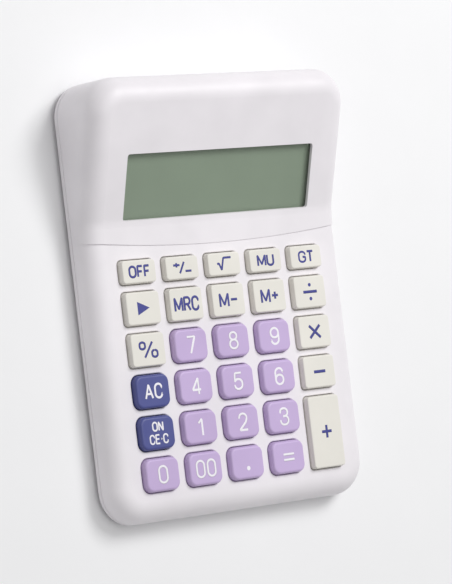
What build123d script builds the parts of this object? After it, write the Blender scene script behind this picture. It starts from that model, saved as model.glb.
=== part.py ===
"""Desk calculator: tilted display hood, 29 sprung keys, one AA cell under a sliding door.

Millimetres. +Z is up, +Y runs from the keys towards the display, +X is to the user's right.
The origin is at the middle of the footprint, on the surface that the feet stand on.
"""
from build123d import *
from math import copysign, cos, radians, sin, sqrt, tan
import os

os.makedirs("parts", exist_ok=True)

# ---------------------------------------------------------------- driving dimensions
case_width = 110.0
case_length = 147.0
corner_radius = 12.0  # the case's corners in plan
edge_radius = 7.0  # roll of the upper case's edges into its sides
wall = 2.0
foot_height = 1.0
split_z = 4.0  # joint line between the two case halves
panel_z = 12.0  # keypad panel above the table
floor_top = foot_height + 1.8  # inside face of the lower case's floor

# Display hood: a lip of gentle slope behind the keypad, then the tilted display face.
lip_tilt = 4.3
face_tilt = 18.5
face_y = 25.9  # where the lip bends up into the display face
face_z = panel_z + 1.0
lip_front_y = 17.1  # the hood's bowed front edge, at the centre line
lip_bow_radius = 485.0
hood_blend = 12.0  # blend between the lip and the display face

# Display
window_width = 80.0
window_height = 22.5
window_gap = 0.6  # from the bend to the window's lower edge, along the face
window_corner = 1.0
lens_depth = 1.1  # face of the lens below the display face
lens_thickness = 1.0
lens_rim = 1.6  # hidden edge of the lens behind the case wall
lcd_depth = 2.3  # face of the LCD below the display face
polariser_thickness = 0.2
glass_thickness = 1.8
lcd_rim = 3.0  # glass past each side of the window
lcd_ledge = 4.2  # glass past the window's lower edge, where the ribbon is bonded

film_rim = (1.5, 1.2)  # polariser and reflector past the window's sides and ends
frame_front_depth = 2.2
frame_back_depth = 5.4
frame_wall = 1.1
frame_gap = 0.12
frame_ear_radius = 2.4
frame_ear_inset = 1.9  # from a screw to the middle of the web that joins its ear to the frame
frame_ear_web = (4.0, 4.8)
frame_opening = (72.0, 17.5)  # behind the glass
ribbon_slot = (57.0, 5.2)
ribbon_width = 56.0
ribbon_thickness = 0.15
ribbon_bond = 2.6  # overlap of the ribbon on the glass
ribbon_bend = 0.8

# Keys
column_pitch = 18.1
row_pitch = 13.8
middle_row_y = -16.5  # row of the 7, 8 and 9 keys
key_width = 14.2
key_height = 11.2
short_key_height = 8.0  # first row
tall_key_height = key_height + row_pitch
key_stand = 2.0  # key tops above the panel
key_taper = 7.0
key_travel = 1.3
key_clearance = 0.3  # around each key in its opening
key_wall = 1.0
flange = 0.8  # lip that holds a key under the panel
flange_thickness = 1.0
soft_corner = 2.8  # digit and clear keys
soft_roll = 0.9
crisp_corner = 1.4  # function keys
crisp_roll = 0.45
opening_chamfer = 0.25
post_radius = 2.0
rib_thickness = 0.8
rib_rise = 1.5  # lower edges of the ribs above the cap's mouth
cap_roof = 1.2  # thickness of a key's top
cap_inner_corner = 0.8

# Board and rubber sheet
board_top = 5.9
board_thickness = 1.2
sheet_web = 0.8
dome_base = 3.7
dome_crown = 2.3
dome_skin = 0.5
pill_radius = 1.5
pill_thickness = 0.5
pill_gap = 0.1
sheet_half_width = 45.2
sheet_front_y = -66.5
sheet_rear_y = 14.9
sheet_corner = 2.0
chip_spot = (16.0, -23.0)
chip_radius = 5.0
chip_height = 1.1
chip_edge = 1.0
small_part = (2.0, 1.25)
capacitor_height = 1.1
capacitor_spots = [(4.0, -23.0), (4.0, -20.0), (-37.0, 8.0)]
resistor_height = 0.6
resistor_spots = [(4.0, -26.5), (28.0, -20.0), (28.0, -23.0), (28.0, -26.0)]
board_corner = 7.0
board_rear_y = 18.0
board_front_y = -69.0
board_half_width = 50.5

# Battery
cell_radius = 7.1
cell_length = 49.5
nub_radius = 2.75
nub_length = 1.0
cell_y = 61.5
cell_z = 10.4
bay_half_length = 28.2
bay_clearance = 0.25  # around the cell
bay_wall = 1.2
deck_top = floor_top + 1.25  # plate that the battery door slides under
contact_thickness = 0.5
contact_size = 10.0
tab_width = 2.5
tab_z = 15.2
tab_reach = 3.5  # solder tab past the inside of the bay's end
spring_radius = 3.2
spring_wire = 0.35
spring_turns = 3
can_edge = 0.5
wire_radius = 0.6
wire_bend = 2.0
wire_lane_x = 36.0
wire_drop = 9.0  # along Y, from the tab's height down to the board
wire_landing = 6.0  # wire's end in front of the board's rear edge

# Battery door, which slides off the rear end
door_half_width = 30.5
door_front_y = 51.0
door_skin = 0.9
tongue = 1.2  # width of each side tongue
tongue_thickness = 0.8
door_clearance = 0.15

# Fasteners and feet
case_screw_spots = [(side * x, y) for side in (-1, 1) for x, y in ((47.0, -64.0), (49.0, 23.0), (47.0, 63.0))]
board_screw_spots = [(x, y) for x in (-9.05, 9.05) for y in (-9.6, -37.2)]
board_screw_spots += [(x, y) for x in (-47.5, 47.5) for y in (13.0, -23.4, -51.0)]
case_screw_radius = 0.95
case_screw_head = (2.1, 1.3)  # radius, height
case_boss_radius = 3.0
case_well_radius = 3.4
case_boss_z = split_z + 0.3  # where the bosses of the two halves meet
small_screw_radius = 0.75
small_screw_head = (1.5, 0.9)
case_screw_bite = 5.0
board_screw_bite = 3.1
frame_screw_bite = 1.7
head_seat_z = foot_height + 1.6
board_post_radius = 1.6
board_rest_radius = 1.6
board_rest_spots = [(x, y) for x in (-27.15, 27.15) for y in (-9.6, -37.2)]
frame_post_radius = 1.9
frame_ear_depth = 3.9
frame_screw_spots = [(x, y) for x in (-47.6, 47.6) for y in (3.5, 20.0)]
lip_thickness = 1.0
lip_top = 5.6
lip_rear_y = case_length / 2 - wall
lower_edge_radius = 2.2
seam_ease = 0.25  # chamfer of each half along the joint between them
lip_gap = 0.1  # between the lip and the upper case's wall
lens_gap = 0.1
boss_clearance = 0.25
hole_clearance = 0.2  # around case screws and their heads
small_hole_clearance = 0.15
sheet_clearance = 0.6  # board and rubber sheet around the case bosses
deck_side = 1.6  # deck past the door's grooves
deck_front = 2.0  # deck in front of the door
arch_slot = (0.4, 0.3)  # width and height that the slot for a solder tab has to spare
grip_count = 4
grip_pitch = 1.6
grip_width = 18.0
grip_narrowing = 2.0  # from each finger groove to the next
grip_front = 3.0  # first finger groove behind the door's front edge
grip_groove = 0.8
grip_depth = 0.35
foot_radius = 4.5
foot_recess = 0.6
foot_gap = 0.1
foot_edge = 0.4
through = 25.0  # longer than any hole or post has to be before it is cut to length
foot_spots = [(x, y) for x in (-38.0, 38.0) for y in (-62.0, 61.0)]

# ---------------------------------------------------------------- derived heights and planes
key_top = panel_z + key_stand
flange_top = panel_z - wall
flange_bottom = flange_top - flange_thickness
web_top = board_top + sheet_web
board_bottom = board_top - board_thickness
dome_height = flange_bottom - web_top
pill_top = board_top + key_travel + pill_thickness  # so that a pressed key lands its pill

display_face = Plane(
    origin=(0, face_y, face_z),
    x_dir=(1, 0, 0),
    z_dir=(0, -sin(radians(face_tilt)), cos(radians(face_tilt))),
)
window_middle = window_gap + window_height / 2


def below_face(depth):
    """The plane parallel to the display face at the given depth under it."""
    return display_face.offset(-depth)


# ---------------------------------------------------------------- key layout
key_rows = [
    ["off", "plus_minus", "root", "mu", "gt"],
    ["backspace", "mrc", "m_minus", "m_plus", "divide"],
    ["percent", "7", "8", "9", "multiply"],
    ["ac", "4", "5", "6", "minus"],
    ["on_ce", "1", "2", "3", "plus"],
    ["0", "00", "point", "equals"],
]
soft_keys = set("0123456789") | {"00", "point", "equals", "ac", "on_ce"}


def key_layout():
    """(name, x, y, height) of every key."""
    keys = []
    for row, names in enumerate(key_rows):
        for column, name in enumerate(names):
            x = (column - 2) * column_pitch
            y = middle_row_y + (2 - row) * row_pitch
            height = key_height
            if row == 0:
                height = short_key_height
                y -= (key_height - short_key_height) / 2
            if name == "plus":
                height = tall_key_height
                y -= row_pitch / 2
            keys.append((name, x, y, height))
    return keys


keys = key_layout()
key_spots = [(x, y) for _, x, y, _ in keys]


def corner_of(name):
    return soft_corner if name in soft_keys else crisp_corner


# ---------------------------------------------------------------- outer forms of the case halves
def hood_area(bottom):
    """Everything behind the hood's bowed front edge, at the given height."""
    clear = 5.0  # past the case on each side
    half = case_width / 2 + clear
    rear_y = case_length / 2 + clear
    bow_end_y = lip_front_y + lip_bow_radius - sqrt(lip_bow_radius**2 - half**2)
    with BuildSketch(Plane.XY.offset(bottom)) as area:
        with BuildLine():
            ThreePointArc((-half, bow_end_y), (0, lip_front_y), (half, bow_end_y))
            Polyline((half, bow_end_y), (half, rear_y), (-half, rear_y), (-half, bow_end_y))
        make_face()
    return area.sketch


def upper_form(inset, bottom):
    """The upper case's closed form, every face but its underside drawn in by inset."""
    width = case_width - 2 * inset
    length = case_length - 2 * inset
    rear_y = length / 2
    roll = edge_radius - inset
    lip_slope = tan(radians(lip_tilt))
    face_slope = tan(radians(face_tilt))
    lip_drop = inset / cos(radians(lip_tilt))
    face_drop = inset / cos(radians(face_tilt))
    bend_y = face_y + (face_drop - lip_drop) / (face_slope - lip_slope)
    bend_z = face_z - face_drop + (bend_y - face_y) * face_slope
    hidden_y = 5.0  # where the hood's blank starts, in front of its visible edge
    tall = 40.0

    with BuildSketch(Plane.XY.offset(bottom)) as outline:
        RectangleRounded(width, length, corner_radius - inset)

    with BuildPart() as hood:
        with BuildSketch(Plane.YZ.offset(-case_width / 2)) as profile:
            with BuildLine():
                Polyline(
                    (hidden_y, bottom),
                    (hidden_y, bend_z - (bend_y - hidden_y) * lip_slope),
                    (bend_y, bend_z),
                    (rear_y, bend_z + (rear_y - bend_y) * face_slope),
                    (rear_y, bottom),
                    close=True,
                )
            make_face()
            fillet(profile.vertices().sort_by_distance((bend_y, bend_z))[0], hood_blend)
        extrude(amount=case_width)
        extrude(outline.sketch, amount=tall, mode=Mode.INTERSECT)
        upward = hood.faces().filter_by(lambda f: f.normal_at().Z > 0.5)
        rim = upward.edges().filter_by(
            lambda e: abs(e.center().X) > 1 or e.center().Y > rear_y - 1
        )
        fillet(rim, roll)
        extrude(hood_area(bottom), amount=tall, mode=Mode.INTERSECT)

    with BuildPart() as form:
        extrude(outline.sketch, amount=panel_z - inset - bottom)
        fillet(form.faces().sort_by(Axis.Z)[-1].edges(), roll)
        extrude(hood_area(bottom), amount=tall, mode=Mode.SUBTRACT)
        add(hood.part)
    return form.part


def lower_form():
    """The lower case's closed outer form."""
    with BuildPart() as form:
        with BuildSketch(Plane.XY.offset(foot_height)):
            RectangleRounded(case_width, case_length, corner_radius)
        extrude(amount=split_z - foot_height)
        fillet(form.faces().sort_by(Axis.Z)[0].edges(), lower_edge_radius)
        chamfer(form.faces().sort_by(Axis.Z)[-1].edges(), seam_ease)
    return form.part


# ---------------------------------------------------------------- upper case
# Posts inside the upper case, ending in the middle of its wall.
with BuildPart() as posts:
    with BuildSketch(Plane.XY.offset(case_boss_z)):
        with Locations(*case_screw_spots):
            Circle(case_boss_radius)
    extrude(amount=through)
    with BuildSketch(Plane.XY.offset(board_top)):
        with Locations(*board_screw_spots):
            Circle(board_post_radius)
    extrude(amount=through)
    with BuildSketch(below_face(frame_ear_depth)):
        with Locations(*frame_screw_spots):
            Circle(frame_post_radius)
    extrude(amount=through)
    add(upper_form(wall / 2, split_z - 1), mode=Mode.INTERSECT)

with BuildPart() as upper_moulding:
    add(upper_form(0, split_z))
    add(upper_form(wall, split_z - 1), mode=Mode.SUBTRACT)
    chamfer(upper_moulding.faces().sort_by(Axis.Z)[0].outer_wire().edges(), seam_ease)
    add(posts.part)
    # key openings, with eased edges
    with BuildSketch(Plane.XY.offset(panel_z)):
        for name, x, y, height in keys:
            with Locations((x, y)):
                RectangleRounded(
                    key_width + 2 * key_clearance,
                    height + 2 * key_clearance,
                    corner_of(name) + key_clearance,
                )
    extrude(amount=flange_bottom - panel_z, mode=Mode.SUBTRACT)
    panel = upper_moulding.faces().filter_by(lambda f: f.is_planar and abs(f.center().Z - panel_z) < 0.01)
    chamfer(panel.sort_by(SortBy.AREA)[-1].inner_wires().edges(), opening_chamfer)
    # display window, and the seat for the lens behind it
    with BuildSketch(display_face.offset(wall)):
        with Locations((0, window_middle)):
            RectangleRounded(window_width, window_height, window_corner)
    extrude(amount=-3 * wall, mode=Mode.SUBTRACT)
    with BuildSketch(below_face(lens_depth)):
        with Locations((0, window_middle)):
            Rectangle(
                window_width + 2 * lens_rim + 2 * lens_gap,
                window_height + 2 * lens_rim + 2 * lens_gap,
            )
    extrude(amount=-wall, mode=Mode.SUBTRACT)
    # screw holes
    with BuildSketch(Plane.XY.offset(case_boss_z)):
        with Locations(*case_screw_spots):
            Circle(case_screw_radius)
    extrude(amount=case_screw_bite, mode=Mode.SUBTRACT)
    with BuildSketch(Plane.XY.offset(board_top)):
        with Locations(*board_screw_spots):
            Circle(small_screw_radius)
    extrude(amount=board_screw_bite, mode=Mode.SUBTRACT)
    with BuildSketch(below_face(frame_ear_depth)):
        with Locations(*frame_screw_spots):
            Circle(small_screw_radius)
    extrude(amount=frame_screw_bite, mode=Mode.SUBTRACT)

# The upper case in two simple pieces that meet along the hood's front edge.
with BuildPart() as keypad_case:
    add(upper_moulding.part)
    extrude(hood_area(split_z - wall), amount=2 * through, mode=Mode.SUBTRACT)

with BuildPart() as display_hood:
    add(upper_moulding.part)
    extrude(hood_area(split_z - wall), amount=2 * through, mode=Mode.INTERSECT)

# ---------------------------------------------------------------- lower case
bay_half_width = cell_radius + bay_clearance
groove_half_width = door_half_width + tongue + door_clearance
groove_bottom = foot_height + door_skin - door_clearance / 2
door_top = foot_height + door_skin + tongue_thickness
door_space_top = door_top + door_clearance
door_space_front = door_front_y - door_clearance
behind_case = case_length / 2 + 5


def bay_section(x, half_width):
    """Arched cross-section around the cell, at the given x, from the table up."""
    with BuildSketch(Plane.YZ.offset(x)) as section:
        with Locations((cell_y, cell_z)):
            Circle(half_width)
        with Locations((cell_y, cell_z / 2)):
            Rectangle(2 * half_width, cell_z)
    return section.sketch


with BuildPart() as bottom_case:
    add(lower_form())
    with BuildSketch(Plane.XY.offset(floor_top)):
        RectangleRounded(case_width - 2 * wall, case_length - 2 * wall, corner_radius - wall)
    extrude(amount=through, mode=Mode.SUBTRACT)
    # lip that locates the upper case
    lip_outer = wall + lip_gap
    lip_inner = lip_outer + lip_thickness
    with BuildSketch(Plane.XY.offset(floor_top)):
        RectangleRounded(case_width - 2 * lip_outer, case_length - 2 * lip_outer, corner_radius - lip_outer)
        RectangleRounded(
            case_width - 2 * lip_inner,
            case_length - 2 * lip_inner,
            corner_radius - lip_inner,
            mode=Mode.SUBTRACT,
        )
    extrude(amount=lip_top - floor_top)
    # screw wells and board rests
    with BuildSketch(Plane.XY.offset(floor_top)):
        with Locations(*case_screw_spots):
            Circle(case_well_radius)
    extrude(amount=case_boss_z - floor_top)
    with BuildSketch(Plane.XY.offset(case_boss_z)):
        with Locations(*case_screw_spots):
            Circle(case_boss_radius + boss_clearance)
    extrude(amount=through, mode=Mode.SUBTRACT)
    with BuildSketch(Plane.XY.offset(floor_top)):
        with Locations(*board_rest_spots):
            Circle(board_rest_radius)
    extrude(amount=board_bottom - floor_top - lip_gap)
    # battery bay: deck over the door, arch over the cell
    with BuildSketch(Plane.XY.offset(floor_top)):
        with Locations((0, (door_front_y + lip_rear_y - deck_front) / 2)):
            Rectangle(2 * (groove_half_width + deck_side), lip_rear_y - door_front_y + deck_front)
    extrude(amount=deck_top - floor_top)
    arch_end = bay_half_length + bay_wall
    extrude(bay_section(-arch_end, bay_half_width + bay_wall), amount=2 * arch_end)
    extrude(
        bay_section(-bay_half_length, bay_half_width),
        amount=2 * bay_half_length,
        mode=Mode.SUBTRACT,
    )
    with BuildSketch(Plane.YZ.offset(-bay_half_length - 2 * bay_wall)):
        with Locations((cell_y, tab_z + contact_thickness / 2)):
            Rectangle(tab_width + arch_slot[0], contact_thickness + arch_slot[1])
    extrude(amount=2 * (bay_half_length + 2 * bay_wall), mode=Mode.SUBTRACT)
    # space and grooves for the sliding door
    for half_width, low, high in (
        (door_half_width + door_clearance, 0.0, door_space_top),
        (groove_half_width, groove_bottom, door_space_top),
    ):
        with BuildSketch(Plane.XY.offset(low)):
            with Locations((0, (door_space_front + behind_case) / 2)):
                Rectangle(2 * half_width, behind_case - door_space_front)
        extrude(amount=high - low, mode=Mode.SUBTRACT)
    # screw holes, head pockets and foot recesses
    with BuildSketch():
        with Locations(*case_screw_spots):
            Circle(case_screw_radius + hole_clearance)
    extrude(amount=through, mode=Mode.SUBTRACT)
    with BuildSketch():
        with Locations(*case_screw_spots):
            Circle(case_screw_head[0] + hole_clearance)
    extrude(amount=head_seat_z, mode=Mode.SUBTRACT)
    with BuildSketch():
        with Locations(*foot_spots):
            Circle(foot_radius + foot_gap)
    extrude(amount=foot_height + foot_recess, mode=Mode.SUBTRACT)

# ---------------------------------------------------------------- battery door
with BuildPart() as battery_door:
    door_length = case_length / 2 - door_front_y
    with BuildSketch(Plane.XY.offset(foot_height)):
        with Locations((0, door_front_y + door_length / 2)):
            Rectangle(2 * door_half_width, door_length)
    extrude(amount=door_skin + tongue_thickness)
    with BuildSketch(Plane.XY.offset(foot_height + door_skin)):
        with Locations((0, door_front_y + door_length / 2)):
            Rectangle(2 * (door_half_width + tongue), door_length)
    extrude(amount=tongue_thickness)
    add(lower_form(), mode=Mode.INTERSECT)
    # finger grooves
    with BuildSketch(Plane.XY.offset(foot_height)):
        for step in range(grip_count):
            with Locations((0, door_front_y + grip_front + step * grip_pitch)):
                SlotOverall(grip_width - grip_narrowing * step, grip_groove)
    extrude(amount=grip_depth, mode=Mode.SUBTRACT)

# ---------------------------------------------------------------- feet and case screws
with BuildPart() as rubber_feet:
    with BuildSketch():
        with Locations(*foot_spots):
            Circle(foot_radius)
    extrude(amount=foot_height + foot_recess)
    fillet(rubber_feet.edges().group_by(Axis.Z)[0], foot_edge)


def screws(spots, seat, radius, head, reach):
    """Pan-head screws that point along the seat plane's normal, their heads behind it."""
    head_radius, head_height = head
    crown = 0.35  # rounded-over part of the head
    crown_taper = 35
    slot_length = 1.1 * head_radius
    slot_width = 0.35
    with BuildPart() as group:
        with BuildSketch(seat):
            with Locations(*spots):
                Circle(head_radius)
        extrude(amount=crown - head_height)
        with BuildSketch(seat.offset(crown - head_height)):
            with Locations(*spots):
                Circle(head_radius)
        extrude(amount=-crown, taper=crown_taper)
        with BuildSketch(seat):
            with Locations(*spots):
                Circle(radius)
        extrude(amount=reach)
        with BuildSketch(seat.offset(-head_height)):
            with Locations(*spots):
                Rectangle(slot_length, slot_width)
                Rectangle(slot_width, slot_length)
        extrude(amount=head_height / 2, mode=Mode.SUBTRACT)
    return group.part


with BuildPart() as case_screws:
    add(
        screws(
            case_screw_spots,
            Plane.XY.offset(head_seat_z),
            case_screw_radius,
            case_screw_head,
            case_boss_z + case_screw_bite - head_seat_z,
        )
    )

# ---------------------------------------------------------------- display
with BuildPart() as display_lens:
    with BuildSketch(below_face(lens_depth)):
        with Locations((0, window_middle)):
            Rectangle(window_width + 2 * lens_rim, window_height + 2 * lens_rim)
    extrude(amount=-lens_thickness)

glass_low = window_gap - lcd_ledge
glass_high = window_gap + window_height + lcd_rim
glass_width = window_width + 2 * lcd_rim
film_size = (window_width + 2 * film_rim[0], window_height + 2 * film_rim[1])
glass_depth = lcd_depth + polariser_thickness
reflector_depth = glass_depth + glass_thickness
frame_floor_depth = reflector_depth + polariser_thickness

with BuildPart() as lcd_front_polariser:
    with BuildSketch(below_face(lcd_depth)):
        with Locations((0, window_middle)):
            Rectangle(*film_size)
    extrude(amount=-polariser_thickness)

with BuildPart() as lcd_glass:
    with BuildSketch(below_face(glass_depth)):
        with Locations((0, (glass_low + glass_high) / 2)):
            Rectangle(glass_width, glass_high - glass_low)
    extrude(amount=-glass_thickness)

with BuildPart() as lcd_reflector:
    with BuildSketch(below_face(reflector_depth)):
        with Locations((0, window_middle)):
            Rectangle(*film_size)
    extrude(amount=-polariser_thickness)

with BuildPart() as lcd_frame:
    pocket = (glass_width + 2 * frame_gap, glass_high - glass_low + 2 * frame_gap)
    with BuildSketch(below_face(frame_front_depth)):
        with Locations((0, (glass_low + glass_high) / 2)):
            Rectangle(pocket[0] + 2 * frame_wall, pocket[1] + 2 * frame_wall)
    extrude(amount=frame_front_depth - frame_back_depth)
    with BuildSketch(below_face(frame_ear_depth)):
        for x, y in frame_screw_spots:
            with Locations((x, y)):
                Circle(frame_ear_radius)
            with Locations((x - copysign(frame_ear_inset, x), y)):
                Rectangle(*frame_ear_web)
    extrude(amount=frame_ear_depth - frame_back_depth)
    with BuildSketch(below_face(frame_front_depth)):
        with Locations((0, (glass_low + glass_high) / 2)):
            Rectangle(*pocket)
    extrude(amount=frame_front_depth - frame_floor_depth, mode=Mode.SUBTRACT)
    # opening behind the cell, ribbon slot and screw holes
    with BuildSketch(below_face(frame_front_depth)):
        with Locations((0, window_middle)):
            Rectangle(*frame_opening)
        with Locations((0, glass_low)):
            Rectangle(*ribbon_slot)
        with Locations(*frame_screw_spots):
            Circle(small_screw_radius + small_hole_clearance)
    extrude(amount=-through, mode=Mode.SUBTRACT)

with BuildPart() as lcd_frame_screws:
    add(
        screws(
            frame_screw_spots,
            below_face(frame_back_depth),
            small_screw_radius,
            small_screw_head,
            frame_back_depth - frame_ear_depth + frame_screw_bite,
        )
    )


def from_face(along, depth):
    """(y, z) of the point that lies this far up the display face and this far below it."""
    tilt = radians(face_tilt)
    return (
        face_y + along * cos(tilt) + depth * sin(tilt),
        face_z + along * sin(tilt) - depth * cos(tilt),
    )


# Heat-seal ribbon from the LCD's ledge down to the board.
with BuildPart() as lcd_ribbon:
    bond_depth = reflector_depth + ribbon_thickness / 2
    board_bond_z = board_top + ribbon_thickness / 2
    bond_end = glass_low + ribbon_bond - 0.4
    bond_start = glass_low - 1.0
    landing_y = board_rear_y - 0.6
    ribbon_end_y = board_rear_y - 2.8
    with BuildSketch(Plane.YZ.offset(-ribbon_width / 2)):
        with BuildLine():
            FilletPolyline(
                from_face(bond_end, bond_depth),
                from_face(bond_start, bond_depth),
                (landing_y, board_bond_z),
                (ribbon_end_y, board_bond_z),
                radius=ribbon_bend,
            )
        trace(line_width=ribbon_thickness)
    extrude(amount=ribbon_width)

# ---------------------------------------------------------------- rubber sheet and carbon pills
with BuildPart() as dome_sheet:
    with BuildSketch(Plane.XY.offset(board_top)):
        with Locations((0, (sheet_front_y + sheet_rear_y) / 2)):
            RectangleRounded(2 * sheet_half_width, sheet_rear_y - sheet_front_y, sheet_corner)
        with Locations(*case_screw_spots):
            Circle(case_boss_radius + sheet_clearance, mode=Mode.SUBTRACT)
        with Locations(*board_screw_spots):
            Circle(board_post_radius + key_clearance, mode=Mode.SUBTRACT)
    extrude(amount=sheet_web)
    with Locations(*[(x, y, web_top) for x, y in key_spots]):
        Cone(dome_base, dome_crown, dome_height, align=(Align.CENTER, Align.CENTER, Align.MIN))
    with Locations(*[(x, y, board_top) for x, y in key_spots]):
        Cone(
            dome_base - dome_skin,
            pill_radius + pill_gap,
            pill_top - board_top,
            align=(Align.CENTER, Align.CENTER, Align.MIN),
            mode=Mode.SUBTRACT,
        )

with BuildPart() as carbon_pills:
    with BuildSketch(Plane.XY.offset(pill_top)):
        with Locations(*key_spots):
            Circle(pill_radius)
    extrude(amount=-pill_thickness)

# ---------------------------------------------------------------- main board and what is on it
with BuildPart() as main_board:
    with BuildSketch(Plane.XY.offset(board_bottom)) as board_outline:
        with Locations((0, (board_front_y + board_rear_y) / 2)):
            Rectangle(2 * board_half_width, board_rear_y - board_front_y)
        chamfer(board_outline.vertices().group_by(Axis.Y)[0], board_corner)
        with Locations(*case_screw_spots):
            Circle(case_boss_radius + sheet_clearance, mode=Mode.SUBTRACT)
        with Locations(*board_screw_spots):
            Circle(small_screw_radius + small_hole_clearance, mode=Mode.SUBTRACT)
    extrude(amount=board_thickness)

with BuildPart() as board_screws:
    add(
        screws(
            board_screw_spots,
            Plane.XY.offset(board_bottom),
            small_screw_radius,
            small_screw_head,
            board_thickness + board_screw_bite,
        )
    )

with BuildPart() as chip_cap:
    with BuildSketch(Plane.XY.offset(board_bottom)):
        with Locations(chip_spot):
            Circle(chip_radius)
    extrude(amount=-chip_height)
    fillet(chip_cap.edges().group_by(Axis.Z)[0], chip_edge)


def chips(spots, height):
    """Small surface-mounted parts under the board."""
    with BuildPart() as group:
        with BuildSketch(Plane.XY.offset(board_bottom)):
            with Locations(*spots):
                Rectangle(*small_part)
        extrude(amount=-height)
    return group.part


with BuildPart() as board_capacitors:
    add(chips(capacitor_spots, capacitor_height))

with BuildPart() as board_resistors:
    add(chips(resistor_spots, resistor_height))

# ---------------------------------------------------------------- battery, contacts and wires
nub_x = -bay_half_length + contact_thickness
can_x = nub_x + nub_length
can_end_x = can_x + cell_length

with BuildPart() as battery_cell:
    with BuildSketch(Plane.YZ.offset(can_x)):
        with Locations((cell_y, cell_z)):
            Circle(cell_radius)
    extrude(amount=cell_length)
    fillet(battery_cell.edges().filter_by(GeomType.CIRCLE), can_edge)
    with BuildSketch(Plane.YZ.offset(can_x)):
        with Locations((cell_y, cell_z)):
            Circle(nub_radius)
    extrude(amount=-nub_length)


def contact(side):
    """A flat contact with its solder tab; side is -1 at the left end of the bay, 1 at the right."""
    plate_x = side * (bay_half_length - contact_thickness / 2)
    tab_middle = side * (bay_half_length + tab_reach / 2 - contact_thickness / 2)
    plate_low = cell_z - contact_size / 2
    plate_high = tab_z + contact_thickness
    with BuildPart() as piece:
        with Locations((plate_x, cell_y, (plate_low + plate_high) / 2)):
            Box(contact_thickness, contact_size, plate_high - plate_low)
        with Locations((tab_middle, cell_y, tab_z + contact_thickness / 2)):
            Box(tab_reach + contact_thickness, tab_width, contact_thickness)
    return piece.part


with BuildPart() as battery_plate:
    add(contact(-1))

with BuildPart() as spring_plate:
    add(contact(1))

with BuildPart() as battery_spring:
    coil_length = bay_half_length - contact_thickness - can_end_x - 2 * spring_wire
    with BuildLine() as coil:
        Helix(
            coil_length / spring_turns,
            coil_length,
            spring_radius,
            center=(can_end_x + spring_wire, cell_y, cell_z),
            direction=(1, 0, 0),
        )
    with BuildSketch(Plane(origin=coil.line @ 0, z_dir=coil.line % 0)):
        Circle(spring_wire)
    sweep(path=coil.line, is_frenet=True)


def battery_wire(side):
    """Insulated wire from a contact's tab down to the underside of the board."""
    tab_end = side * (bay_half_length + tab_reach)
    outer = side * wire_lane_x
    tab_level = tab_z + contact_thickness / 2
    lane_z = board_bottom - wire_radius
    with BuildPart() as wire:
        with BuildLine() as route:
            FilletPolyline(
                (tab_end, cell_y, tab_level),
                (outer, cell_y, tab_level),
                (outer, cell_y - wire_drop, lane_z),
                (outer, board_rear_y - wire_landing, lane_z),
                radius=wire_bend,
            )
        with BuildSketch(Plane(origin=route.line @ 0, z_dir=route.line % 0)):
            Circle(wire_radius)
        sweep(path=route.line)
    return wire.part


with BuildPart() as battery_wire_red:
    add(battery_wire(-1))

with BuildPart() as battery_wire_black:
    add(battery_wire(1))


# ---------------------------------------------------------------- keys
def key_cap(name, x, y, height):
    """A hollow moulded key: tapered cap, flange that holds it in, and the post over its dome."""
    corner = corner_of(name)
    roll = soft_roll if name in soft_keys else crisp_roll
    ceiling = key_top - cap_roof
    with BuildPart() as key:
        with BuildSketch(Plane.XY.offset(flange_bottom)):
            with Locations((x, y)):
                RectangleRounded(key_width + 2 * flange, height + 2 * flange, corner)
        extrude(amount=flange_thickness)
        with BuildSketch(Plane.XY.offset(flange_top)):
            with Locations((x, y)):
                RectangleRounded(key_width, height, corner)
        extrude(amount=panel_z - flange_top)
        with BuildSketch(Plane.XY.offset(panel_z)):
            with Locations((x, y)):
                RectangleRounded(key_width, height, corner)
        extrude(amount=key_stand, taper=key_taper)
        fillet(key.faces().sort_by(Axis.Z)[-1].edges(), roll)
        with BuildSketch(Plane.XY.offset(flange_bottom)):
            with Locations((x, y)):
                RectangleRounded(key_width - 2 * key_wall, height - 2 * key_wall, cap_inner_corner)
        extrude(amount=ceiling - flange_bottom, mode=Mode.SUBTRACT)
        with BuildSketch(Plane.XY.offset(flange_bottom)):
            with Locations((x, y)):
                Circle(post_radius)
        extrude(amount=ceiling - flange_bottom)
        with BuildSketch(Plane.XY.offset(flange_bottom + rib_rise)):
            with Locations((x, y)):
                Rectangle(key_width - key_wall, rib_thickness)
                Rectangle(rib_thickness, height - key_wall)
        extrude(amount=ceiling - flange_bottom - rib_rise)
    return key.part


# ---------------------------------------------------------------- write every piece
pieces = {
    "keypad_case": keypad_case,
    "display_hood": display_hood,
    "bottom_case": bottom_case,
    "battery_door": battery_door,
    "rubber_feet": rubber_feet,
    "case_screws": case_screws,
    "display_lens": display_lens,
    "lcd_front_polariser": lcd_front_polariser,
    "lcd_glass": lcd_glass,
    "lcd_reflector": lcd_reflector,
    "lcd_frame": lcd_frame,
    "lcd_frame_screws": lcd_frame_screws,
    "lcd_ribbon": lcd_ribbon,
    "dome_sheet": dome_sheet,
    "carbon_pills": carbon_pills,
    "main_board": main_board,
    "board_screws": board_screws,
    "chip_cap": chip_cap,
    "board_capacitors": board_capacitors,
    "board_resistors": board_resistors,
    "battery_cell": battery_cell,
    "battery_plate": battery_plate,
    "battery_spring": battery_spring,
    "spring_plate": spring_plate,
    "battery_wire_red": battery_wire_red,
    "battery_wire_black": battery_wire_black,
}
solids = {label: piece.part for label, piece in pieces.items()}
solids |= {f"key_{name}": key_cap(name, x, y, height) for name, x, y, height in keys}
for label, solid in solids.items():
    solid.label = label
    export_step(solid, f"parts/{label}.step")
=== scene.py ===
"""Desk calculator: looks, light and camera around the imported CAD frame."""
import bpy
import math
from mathutils import Matrix, Vector


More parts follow.
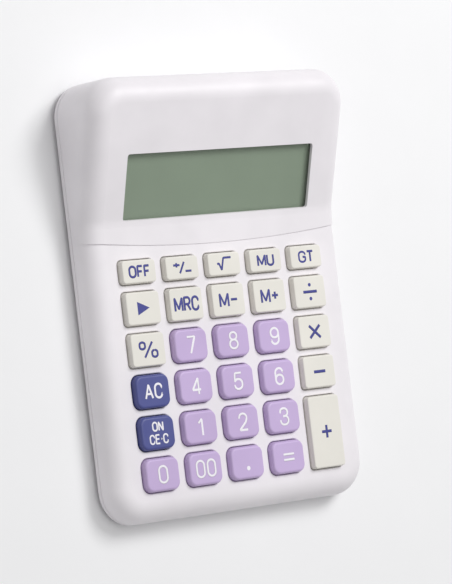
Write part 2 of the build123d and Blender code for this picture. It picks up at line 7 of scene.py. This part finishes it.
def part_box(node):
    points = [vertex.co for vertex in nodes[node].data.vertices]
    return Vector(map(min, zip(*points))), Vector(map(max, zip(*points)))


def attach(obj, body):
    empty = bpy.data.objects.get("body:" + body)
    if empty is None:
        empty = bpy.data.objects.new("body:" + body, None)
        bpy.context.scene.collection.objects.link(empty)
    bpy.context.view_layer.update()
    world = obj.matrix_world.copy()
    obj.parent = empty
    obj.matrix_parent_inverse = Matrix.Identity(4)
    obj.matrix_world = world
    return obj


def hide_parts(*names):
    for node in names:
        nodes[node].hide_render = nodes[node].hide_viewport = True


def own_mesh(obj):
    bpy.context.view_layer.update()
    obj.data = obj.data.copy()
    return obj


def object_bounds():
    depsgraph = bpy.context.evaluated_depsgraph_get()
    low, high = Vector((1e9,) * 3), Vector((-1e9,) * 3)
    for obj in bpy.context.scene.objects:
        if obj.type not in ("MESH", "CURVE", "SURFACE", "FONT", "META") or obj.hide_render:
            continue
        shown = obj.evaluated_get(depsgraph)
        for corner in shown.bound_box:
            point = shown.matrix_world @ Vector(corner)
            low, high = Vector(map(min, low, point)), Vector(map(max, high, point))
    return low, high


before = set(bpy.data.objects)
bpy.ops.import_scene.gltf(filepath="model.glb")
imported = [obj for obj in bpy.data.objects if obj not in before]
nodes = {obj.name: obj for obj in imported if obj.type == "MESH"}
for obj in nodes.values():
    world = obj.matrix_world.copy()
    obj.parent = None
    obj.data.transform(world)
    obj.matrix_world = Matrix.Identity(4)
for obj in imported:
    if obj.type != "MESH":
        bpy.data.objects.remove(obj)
cad_low, cad_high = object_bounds()
MM = 0.001


def linear(red, green, blue):
    """A colour given in 0-255 sRGB, as the linear RGBA that shaders take."""
    def channel(value):
        value /= 255
        return value / 12.92 if value <= 0.04045 else ((value + 0.055) / 1.055) ** 2.4
    return channel(red), channel(green), channel(blue), 1.0


def add(name, data):
    """A new object in the scene."""
    thing = bpy.data.objects.new(name, data)
    bpy.context.scene.collection.objects.link(thing)
    return thing


def middle_of(name):
    """The middle of a CAD node's box."""
    low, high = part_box(name)
    return (low + high) / 2


# ---------------------------------------------------------------- camera
# Seen from the user's left, 51 degrees above the keypad, with the display end up the frame.
view_from = Vector((-0.687, -0.0305, 0.864))
image_up = Vector((0.0574, 0.9914, 0.1177))
look_at = (cad_low + cad_high) / 2
back = (view_from - look_at).normalized()
right = image_up.cross(back).normalized()
up = back.cross(right)
camera = add("camera", bpy.data.cameras.new("camera"))
camera.matrix_world = Matrix.Translation(view_from) @ Matrix((right, up, back)).transposed().to_4x4()
camera.data.lens = 200
camera.data.sensor_width = 36
camera.data.clip_end = 20
bpy.context.scene.camera = camera


# ---------------------------------------------------------------- light
def area_light(name, place, size, power):
    """A soft square light that points at the origin."""
    data = bpy.data.lights.new(name, "AREA")
    data.size = size
    data.energy = power
    light = add(name, data)
    light.location = place
    light.rotation_euler = (-Vector(place)).to_track_quat("-Z", "Y").to_euler()


bpy.context.scene.view_settings.view_transform = "Standard"
world = bpy.data.worlds.new("studio")
world.use_nodes = True
sky = world.node_tree.nodes["Background"].inputs
sky["Color"].default_value = (1.0, 1.0, 1.0, 1)
sky["Strength"].default_value = 0.34
bpy.context.scene.world = world
area_light("key_light", (0.45, 0.55, 0.95), 0.5, 7.6)
area_light("top_light", (-0.1, 0.1, 1.2), 0.9, 3.6)


# ---------------------------------------------------------------- materials
def new_material(name):
    material = bpy.data.materials.new(name)
    material.use_nodes = True
    tree = material.node_tree
    return material, tree, tree.nodes["Principled BSDF"]


def noise(tree, scale, detail=3.0):
    """Noise in the object's own metres, so scale is about how many blotches there are to a metre."""
    place = tree.nodes.new("ShaderNodeTexCoord")
    texture = tree.nodes.new("ShaderNodeTexNoise")
    texture.inputs["Scale"].default_value = scale
    texture.inputs["Detail"].default_value = detail
    tree.links.new(place.outputs["Object"], texture.inputs["Vector"])
    return texture.outputs["Fac"]


def ramp(tree, factor, low, high, start=0.35, end=0.65):
    """A colour or grey that runs from low to high as factor runs from start to end."""
    node = tree.nodes.new("ShaderNodeValToRGB")
    node.color_ramp.elements[0].position = start
    node.color_ramp.elements[1].position = end
    node.color_ramp.elements[0].color = low
    node.color_ramp.elements[1].color = high
    tree.links.new(factor, node.inputs["Fac"])
    return node.outputs["Color"]


def grey(value):
    return value, value, value, 1.0


def bump(tree, shader, height, strength, distance):
    node = tree.nodes.new("ShaderNodeBump")
    node.inputs["Strength"].default_value = strength
    node.inputs["Distance"].default_value = distance
    tree.links.new(height, node.inputs["Height"])
    tree.links.new(node.outputs["Normal"], shader.inputs["Normal"])


def moulded_plastic(name, colour, roughness, grain=2600.0, relief=0.02, shift=0.03):
    """A moulded or coated surface: faint mottling by shift, uneven gloss, and a fine grain."""
    material, tree, shader = new_material(name)
    dark = tuple(c * (1 - shift) for c in colour[:3]) + (1.0,)
    light = tuple(min(1.0, c * (1 + shift)) for c in colour[:3]) + (1.0,)
    glossy, dull = grey(roughness - 0.05), grey(roughness + 0.06)
    mottling = noise(tree, 45.0)
    patches = noise(tree, 160.0)
    tree.links.new(ramp(tree, mottling, dark, light), shader.inputs["Base Color"])
    tree.links.new(ramp(tree, patches, glossy, dull), shader.inputs["Roughness"])
    bump(tree, shader, noise(tree, grain, 2.0), relief, 0.2 * MM)
    shader.inputs["IOR"].default_value = 1.5
    return material


def paint(material, *names):
    for name in names:
        mesh = nodes[name].data
        mesh.materials.clear()
        mesh.materials.append(material)


case_plastic = moulded_plastic("case_plastic", linear(239, 235, 239), 0.42)
ivory_plastic = moulded_plastic("ivory_plastic", linear(234, 231, 223), 0.45)
lilac_plastic = moulded_plastic("lilac_plastic", linear(201, 179, 221), 0.42)
indigo_plastic = moulded_plastic("indigo_plastic", linear(80, 86, 148), 0.42)

key_names = sorted(name for name in nodes if name.startswith("key_"))
key_plastics = {f"key_{cap}": lilac_plastic for cap in (*"0123456789", "00", "point", "equals")}
key_plastics |= {"key_ac": indigo_plastic, "key_on_ce": indigo_plastic}
for name in key_names:
    paint(key_plastics.get(name, ivory_plastic), name)
paint(case_plastic, "keypad_case", "display_hood", "bottom_case", "battery_door")
rubber_look = {"grain": 1400.0, "relief": 0.1}
paint(moulded_plastic("foot_rubber", linear(120, 120, 122), 0.75, **rubber_look), "rubber_feet")


def clear_acrylic():
    """Clear window: see-through, with a soft reflection on the faces that light enters by."""
    material, tree, shader = new_material("clear_acrylic")
    tree.nodes.remove(shader)
    clear = tree.nodes.new("ShaderNodeBsdfTransparent")
    gloss = tree.nodes.new("ShaderNodeBsdfGlossy")
    gloss.inputs["Roughness"].default_value = 0.08
    fresnel = tree.nodes.new("ShaderNodeFresnel")
    fresnel.inputs["IOR"].default_value = 1.45
    mix = tree.nodes.new("ShaderNodeMixShader")
    geometry = tree.nodes.new("ShaderNodeNewGeometry")
    front_only = tree.nodes.new("ShaderNodeMath")
    front_only.operation = "SUBTRACT"
    front_only.use_clamp = True
    tree.links.new(fresnel.outputs["Fac"], front_only.inputs[0])
    tree.links.new(geometry.outputs["Backfacing"], front_only.inputs[1])
    tree.links.new(front_only.outputs["Value"], mix.inputs["Fac"])
    tree.links.new(clear.outputs["BSDF"], mix.inputs[1])
    tree.links.new(gloss.outputs["BSDF"], mix.inputs[2])
    tree.links.new(mix.outputs["Shader"], tree.nodes["Material Output"].inputs["Surface"])
    return material


paint(clear_acrylic(), "display_lens")
lcd = moulded_plastic("lcd_film", linear(137, 152, 133), 0.5, grain=5000.0, relief=0.01)
paint(lcd, "lcd_front_polariser", "lcd_glass", "lcd_reflector")


def plated_steel(name, colour, roughness):
    """Plated steel: faint stains, patchy dullness and a fine grain."""
    material, tree, shader = new_material(name)
    dark = tuple(c * 0.88 for c in colour[:3]) + (1.0,)
    glossy, dull = grey(roughness - 0.08), grey(roughness + 0.12)
    stains = noise(tree, 300.0)
    patches = noise(tree, 900.0)
    grain = noise(tree, 3500.0, 2.0)
    tree.links.new(ramp(tree, stains, dark, colour), shader.inputs["Base Color"])
    tree.links.new(ramp(tree, patches, glossy, dull), shader.inputs["Roughness"])
    shader.inputs["Metallic"].default_value = 1.0
    bump(tree, shader, grain, 0.05, 0.1 * MM)
    return material


def striped(name, first, second, axis, pitch, roughness):
    """Fine stripes across an axis, pitch metres apart, as on a ribbon cable or a printed board."""
    material, tree, shader = new_material(name)
    place = tree.nodes.new("ShaderNodeTexCoord")
    wave = tree.nodes.new("ShaderNodeTexWave")
    wave.bands_direction = axis
    wave.inputs["Scale"].default_value = math.pi / (10 * pitch)
    wave.inputs["Distortion"].default_value = 0.0
    tree.links.new(place.outputs["Object"], wave.inputs["Vector"])
    tree.links.new(ramp(tree, wave.outputs["Fac"], first, second, 0.45, 0.55), shader.inputs["Base Color"])
    shader.inputs["Roughness"].default_value = roughness
    bump(tree, shader, wave.outputs["Fac"], 0.2, 0.05 * MM)
    return material


# the pieces inside the case
zinc = plated_steel("zinc_plate", linear(196, 198, 202), 0.3)
nickel = plated_steel("nickel_plate", linear(214, 210, 200), 0.24)
paint(zinc, "case_screws", "board_screws", "lcd_frame_screws")
paint(nickel, "battery_plate", "battery_spring", "spring_plate")
paint(moulded_plastic("inner_plastic", linear(205, 203, 198), 0.5), "lcd_frame")
paint(striped("ribbon_film", linear(150, 96, 40), linear(196, 142, 84), "X", 1.0 * MM, 0.4), "lcd_ribbon")
paint(striped("board_mask", linear(20, 78, 42), linear(30, 96, 54), "Y", 1.2 * MM, 0.35), "main_board")
paint(moulded_plastic("black_epoxy", linear(24, 24, 26), 0.25, grain=700.0, relief=0.1), "chip_cap")
paint(moulded_plastic("fired_ceramic", linear(176, 146, 112), 0.5), "board_capacitors")
paint(moulded_plastic("resistor_body", linear(44, 44, 48), 0.4), "board_resistors")
paint(moulded_plastic("cell_wrap", linear(62, 74, 96), 0.3, grain=900.0), "battery_cell")
paint(moulded_plastic("red_insulation", linear(176, 34, 32), 0.45), "battery_wire_red")
paint(moulded_plastic("black_insulation", linear(34, 34, 36), 0.45), "battery_wire_black")

# ---------------------------------------------------------------- rubber sheet under the keys
# The sheet stays put, each dome sits on the housing with a mesh of its own, and each carbon pill goes down
# with its key.
sheet_rubber = moulded_plastic("sheet_rubber", linear(196, 196, 192), 0.7, **rubber_look)
carbon = moulded_plastic("carbon", linear(38, 38, 40), 0.7)
sheet_low, sheet_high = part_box("dome_sheet")
pill_low, pill_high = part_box("carbon_pills")
pill_foot = pill_low.z + 0.02 * MM  # a hair off the board when its key is down
pill_radius = 1.5 * MM
dome_base = 3.7 * MM  # radius at the foot of a dome
dome_crown = 2.3 * MM  # radius of its flat top
dome_mouth = 3.2 * MM  # radius of the hollow at its foot
dome_ceiling = pill_radius + 0.1 * MM  # radius of the hollow at its top
web = 0.8 * MM  # thickness of the sheet between the domes
sheet_half_width = sheet_high.x - 2.2 * MM  # clear of the case bosses
screw_spots = [(x * MM, y * MM) for x in (-9.05, 9.05) for y in (-9.6, -37.2)]
screw_hole_radius = 1.9 * MM
round_steps = 32


def turned(name, middle, profile, material):
    """A closed solid turned about a vertical; profile is (radius, z), from the axis to the axis."""
    points = [(middle.x, middle.y, profile[0][1]), (middle.x, middle.y, profile[-1][1])]
    rings = profile[1:-1]
    for radius, z in rings:
        for step in range(round_steps):
            angle = 2 * math.pi * step / round_steps
            x, y = radius * math.cos(angle), radius * math.sin(angle)
            points.append((middle.x + x, middle.y + y, z))
    faces = []
    last = 2 + (len(rings) - 1) * round_steps
    for step in range(round_steps):
        after = (step + 1) % round_steps
        faces.append((0, 2 + after, 2 + step))
        faces.append((1, last + step, last + after))
        for ring in range(len(rings) - 1):
            low_ring = 2 + ring * round_steps
            high_ring = low_ring + round_steps
            faces.append((low_ring + step, low_ring + after, high_ring + after, high_ring + step))
    mesh = bpy.data.meshes.new(name)
    mesh.from_pydata(points, [], faces)
    mesh.materials.append(material)
    return add(name, mesh)


def disc(radius, bottom, top):
    """The profile of a flat round piece."""
    return [(0, bottom), (radius, bottom), (radius, top), (0, top)]


def outline(data, points):
    """One closed outline of a flat curve."""
    spline = data.splines.new("POLY")
    spline.points.add(len(points) - 1)
    for target, (x, y) in zip(spline.points, points):
        target.co = (x, y, 0, 1)
    spline.use_cyclic_u = True


def circle(centre, radius):
    angles = [2 * math.pi * step / round_steps for step in range(round_steps)]
    return [(centre[0] + radius * math.cos(a), centre[1] + radius * math.sin(a)) for a in angles]


dome_profile = [
    (0, pill_high.z),
    (dome_ceiling, pill_high.z),
    (dome_mouth, sheet_low.z),
    (dome_base, sheet_low.z),
    (dome_base, sheet_low.z + web),
    (dome_crown, sheet_high.z),
    (0, sheet_high.z),
]
for name in key_names:
    middle = middle_of(name)
    dome = turned(f"dome_{name}", middle, dome_profile, sheet_rubber)
    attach(dome, "housing")
    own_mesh(dome)
    pill = turned(f"pill_{name}", middle, disc(pill_radius, pill_foot, pill_high.z), carbon)
    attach(pill, f"{name}_body")
    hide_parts("carbon_pills")

sheet = bpy.data.curves.new("rubber_sheet", "CURVE")
sheet.dimensions = "2D"
sheet.fill_mode = "BOTH"
sheet.extrude = web / 2
left, front, rear = -sheet_half_width, sheet_low.y, sheet_high.y
outline(sheet, [(left, front), (-left, front), (-left, rear), (left, rear)])
for name in key_names:
    outline(sheet, circle(middle_of(name), dome_base))
for spot_middle in screw_spots:
    outline(sheet, circle(spot_middle, screw_hole_radius))
sheet.materials.append(sheet_rubber)
sheet_piece = add("rubber_sheet", sheet)
sheet_piece.location.z = sheet_low.z + web / 2
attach(sheet_piece, "housing")
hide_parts("dome_sheet")

# ---------------------------------------------------------------- floor
floor_mesh = bpy.data.meshes.new("floor")
reach = 6.0
floor_corners = [(-reach, -reach, 0), (reach, -reach, 0), (reach, reach, 0), (-reach, reach, 0)]
floor_mesh.from_pydata(floor_corners, [], [(0, 1, 2, 3)])
floor_paper = moulded_plastic("floor_paper", linear(245, 245, 246), 0.85, grain=400.0, shift=0.004)
floor_mesh.materials.append(floor_paper)
floor = add("floor", floor_mesh)

# ---------------------------------------------------------------- key legends
ink = moulded_plastic("indigo_ink", linear(66, 70, 146), 0.5, relief=0.0)
white_ink = moulded_plastic("white_ink", linear(246, 244, 250), 0.5, relief=0.0)
ink_thickness = 0.03 * MM
arc_steps = 8
crisp = 0.07  # rounding of a corner that gives none, so that it still looks sharp
# Strokes that meet stand at slightly different heights, so that no two tops share a plane.
stroke_lift = 0.1  # from one stroke of a legend to the next, in half widths of the stroke
stroke_climb = 0.3  # along an open stroke with corners, in the same measure


def loop(x0, y0, x1, y1, round_by):
    """A closed stroke round a box, with its corners rounded."""
    middle = (x0 + x1) / 2
    corners = [(x1, y0), (x1, y1), (x0, y1), (x0, y0)]
    return [(middle, y0)] + [(x, y, round_by) for x, y in corners] + [(middle, y0)]


def dot(x, y):
    """A ring so tight that the stroke's own width fills it."""
    size = 0.012
    return loop(x - size, y - size, x + size, y + size, size)


# Plain single-stroke characters, each with its width and its strokes. A stroke is a list of corners
# in a cell one unit high, and a corner's third number is how far it is rounded. A closed stroke ends
# where it starts.
glyphs = {
    "0": (0.56, [loop(0, 0, 0.56, 1, 0.28)]),
    "1": (0.40, [[(0.04, 0.76), (0.28, 1), (0.28, 0)]]),
    "2": (0.56, [[(0.01, 0.72), (0.01, 1, 0.26), (0.55, 1, 0.27), (0.55, 0.54, 0.2), (0, 0), (0.57, 0)]]),
    "3": (
        0.56,
        [
            [(0.02, 0.78), (0.02, 1, 0.22), (0.53, 1, 0.23), (0.53, 0.53, 0.22), (0.2, 0.53)],
            [(0.2, 0.53), (0.56, 0.53, 0.25), (0.56, 0, 0.26), (0, 0, 0.24), (0, 0.24)],
        ],
    ),
    "4": (0.60, [[(0.44, 0), (0.44, 0.98), (0.02, 0.27), (0.6, 0.27)]]),
    "5": (
        0.56,
        [
            [(0.52, 1), (0.08, 1), (0.03, 0.47), (0.12, 0.63, 0.1), (0.56, 0.63, 0.28)]
            + [(0.56, 0, 0.28), (0, 0, 0.25), (0, 0.22)]
        ],
    ),
    "6": (
        0.56,
        [
            [(0.53, 0.78), (0.53, 1, 0.24), (0, 1, 0.28), (0, 0, 0.28), (0.56, 0, 0.28)]
            + [(0.56, 0.6, 0.28), (0, 0.6, 0.26), (0, 0.3)]
        ],
    ),
    "7": (0.54, [[(0, 1), (0.54, 1), (0.18, 0)]]),
    "8": (0.56, [loop(0, 0, 0.56, 0.54, 0.26), loop(0.04, 0.54, 0.52, 1, 0.22)]),
    "9": (
        0.56,
        [
            [(0.03, 0.22), (0.03, 0, 0.24), (0.56, 0, 0.28), (0.56, 1, 0.28), (0, 1, 0.28)]
            + [(0, 0.4, 0.28), (0.56, 0.4, 0.26), (0.56, 0.7)]
        ],
    ),
    "A": (0.66, [[(0, 0), (0.33, 1), (0.66, 0)], [(0.12, 0.32), (0.54, 0.32)]]),
    "C": (0.60, [[(0.6, 0.74), (0.6, 1, 0.28), (0, 1, 0.3), (0, 0, 0.3), (0.6, 0, 0.28), (0.6, 0.26)]]),
    "E": (0.52, [[(0.52, 1), (0, 1), (0, 0), (0.52, 0)], [(0, 0.52), (0.46, 0.52)]]),
    "F": (0.50, [[(0.5, 1), (0, 1), (0, 0)], [(0, 0.5), (0.44, 0.5)]]),
    "G": (
        0.62,
        [
            [(0.61, 0.76), (0.61, 1, 0.28), (0, 1, 0.3), (0, 0, 0.3), (0.62, 0, 0.28)]
            + [(0.62, 0.48), (0.36, 0.48)]
        ],
    ),
    "M": (0.74, [[(0, 0), (0, 1), (0.37, 0.12), (0.74, 1), (0.74, 0)]]),
    "N": (0.60, [[(0, 0), (0, 1), (0.6, 0), (0.6, 1)]]),
    "O": (0.66, [loop(0, 0, 0.66, 1, 0.33)]),
    "R": (0.58, [[(0, 0), (0, 1), (0.56, 1, 0.24), (0.56, 0.48, 0.24), (0, 0.48)], [(0.3, 0.48), (0.58, 0)]]),
    "T": (0.56, [[(0, 1), (0.56, 1)], [(0.28, 1), (0.28, 0)]]),
    "U": (0.60, [[(0, 1), (0, 0, 0.29), (0.6, 0, 0.29), (0.6, 1)]]),
    "+": (0.56, [[(0, 0.5), (0.56, 0.5)], [(0.28, 0.22), (0.28, 0.78)]]),
    "-": (0.56, [[(0, 0.5), (0.56, 0.5)]]),
    "x": (0.56, [[(0.03, 0.25), (0.53, 0.75)], [(0.03, 0.75), (0.53, 0.25)]]),
    "=": (0.60, [[(0, 0.38), (0.6, 0.38)], [(0, 0.62), (0.6, 0.62)]]),
    "%": (
        0.96,
        [[(0.24, 0), (0.72, 1)], loop(0, 0.56, 0.3, 1, 0.15), loop(0.66, 0, 0.96, 0.44, 0.15)],
    ),
    ",": (0.10, [dot(0.05, 0.5)]),
    "sign": (
        1.0,
        [
            [(0, 0.72), (0.36, 0.72)],
            [(0.18, 0.54), (0.18, 0.9)],
            [(0.34, 0.05), (0.62, 0.95)],
            [(0.66, 0.2), (1.0, 0.2)],
        ],
    ),
    "root": (1.08, [[(0, 0.5), (0.12, 0.58), (0.3, 0.02), (0.5, 1), (1.08, 1)]]),
}


def rounded(corners):
    """The stroke's points, with an arc of points at each rounded corner."""
    places = [Vector(corner[:2]) for corner in corners]
    points = [places[0]]
    for index in range(1, len(corners) - 1):
        here = places[index]
        before = (places[index - 1] - here).normalized()
        after = (places[index + 1] - here).normalized()
        turn = before.angle(after)
        reach = corners[index][2] if len(corners[index]) > 2 else crisp
        radius = reach * math.tan(turn / 2)
        centre = here + (before + after).normalized() * (radius / math.sin(turn / 2))
        start, end = here + before * reach - centre, here + after * reach - centre
        sweep = start.angle_signed(end)
        for step in range(arc_steps + 1):
            angle = -sweep * step / arc_steps
            points.append(centre + Matrix.Rotation(angle, 2) @ start)
    return points + [places[-1]]


def key_top(key):
    """The middle of a key's top face."""
    middle = middle_of(f"key_{key}")
    return Vector((middle.x, middle.y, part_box(f"key_{key}")[1].z))


def legend(key, text, height, stroke, material, wide=1.0, up=0.0, gap=0.26):
    """Printed characters, height and stroke in mm, up mm from the middle of a key's top."""
    half = stroke / 2
    tall = height - stroke
    data = bpy.data.curves.new(f"legend_{key}", "CURVE")
    data.dimensions = "3D"
    data.bevel_depth = half
    data.bevel_resolution = 1
    data.use_fill_caps = True
    pen = -(sum(glyphs[character][0] for character in text) * wide + gap * (len(text) - 1)) / 2
    for character in text:
        width, strokes = glyphs[character]
        for corners in strokes:
            points = rounded(corners)
            closed = (points[0] - points[-1]).length < 1e-6
            if closed:
                points.pop()
            spline = data.splines.new("POLY")
            spline.points.add(len(points) - 1)
            spline.use_cyclic_u = closed
            lift = len(data.splines) * stroke_lift * half
            climb = 0 if closed or len(points) < 3 else stroke_climb * half / len(points)
            for index, (target, point) in enumerate(zip(spline.points, points)):
                x, y = (pen + point.x * wide) * tall, (point.y - 0.5) * tall
                target.co = (x, y, lift + climb * index, 1)
        pen += width * wide + gap
    data.materials.append(material)
    piece = add(f"legend_{key}_{len(bpy.data.curves)}", data)
    piece.location = key_top(key) + Vector((0, up * MM, 0))
    piece.scale = (MM, MM, ink_thickness / half)
    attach(piece, f"key_{key}_body")


def arrow(key, length, height, material):
    """A printed solid triangle that points to +X, length and height in mm."""
    top = key_top(key)
    corners = [(-length / 2, -height / 2), (length / 2, 0), (-length / 2, height / 2)]
    points = [
        (top.x + x * MM, top.y + y * MM, top.z + side * ink_thickness)
        for side in (-1, 1)
        for x, y in corners
    ]
    mesh = bpy.data.meshes.new(f"legend_{key}")
    mesh.from_pydata(points, [], [(2, 1, 0), (3, 4, 5), (0, 1, 4, 3), (1, 2, 5, 4), (2, 0, 3, 5)])
    mesh.materials.append(material)
    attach(add(f"legend_{key}", mesh), f"key_{key}_body")


def spot(key, radius, up, material):
    """A printed round dot, up mm from the middle of a key's top."""
    top = key_top(key)
    profile = disc(radius * MM, top.z - ink_thickness, top.z + ink_thickness)
    name = f"spot_{key}_{len(bpy.data.meshes)}"
    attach(turned(name, top + Vector((0, up * MM, 0)), profile, material), f"key_{key}_body")


digit_print = (6.3, 0.85, white_ink)  # height, stroke, ink
word_print = (4.3, 0.8, ink)
sign_print = (4.9, 0.75, ink)
memory_print = (5.2, 0.85, ink)
for digit in "0123456789":
    legend(digit, digit, *digit_print, wide=1.1)
legend("00", "00", *digit_print, wide=1.05)
spot("point", 0.75, -1.9, white_ink)
legend("equals", "=", 8.6, 0.9, white_ink)
legend("off", "OFF", *word_print, wide=1.1)
legend("plus_minus", ["sign"], *sign_print, wide=1.8)
legend("root", ["root"], *sign_print, wide=1.35)
legend("mu", "MU", *word_print, wide=1.25)
legend("gt", "GT", *word_print, wide=1.3)
arrow("backspace", 5.0, 4.5, ink)
legend("mrc", "MRC", *memory_print, wide=0.95, gap=0.22)
legend("m_minus", "M-", *memory_print, wide=1.1)
legend("m_plus", "M+", *memory_print, wide=1.08)
legend("divide", "-", 9.5, 1.0, ink, wide=1.28)
for offset in (2.4, -2.4):
    spot("divide", 0.62, offset, ink)
legend("percent", "%", 5.9, 0.8, ink, wide=1.45)
legend("multiply", "x", 9.6, 1.0, ink, wide=1.1)
legend("minus", "-", 9.5, 1.05, ink, wide=1.08)
legend("plus", "+", 8.8, 1.0, ink)
legend("ac", "AC", 5.3, 0.8, white_ink)
legend("on_ce", "ON", 3.4, 0.65, white_ink, up=2.1)
legend("on_ce", "CE,C", 3.4, 0.6, white_ink, up=-2.1)
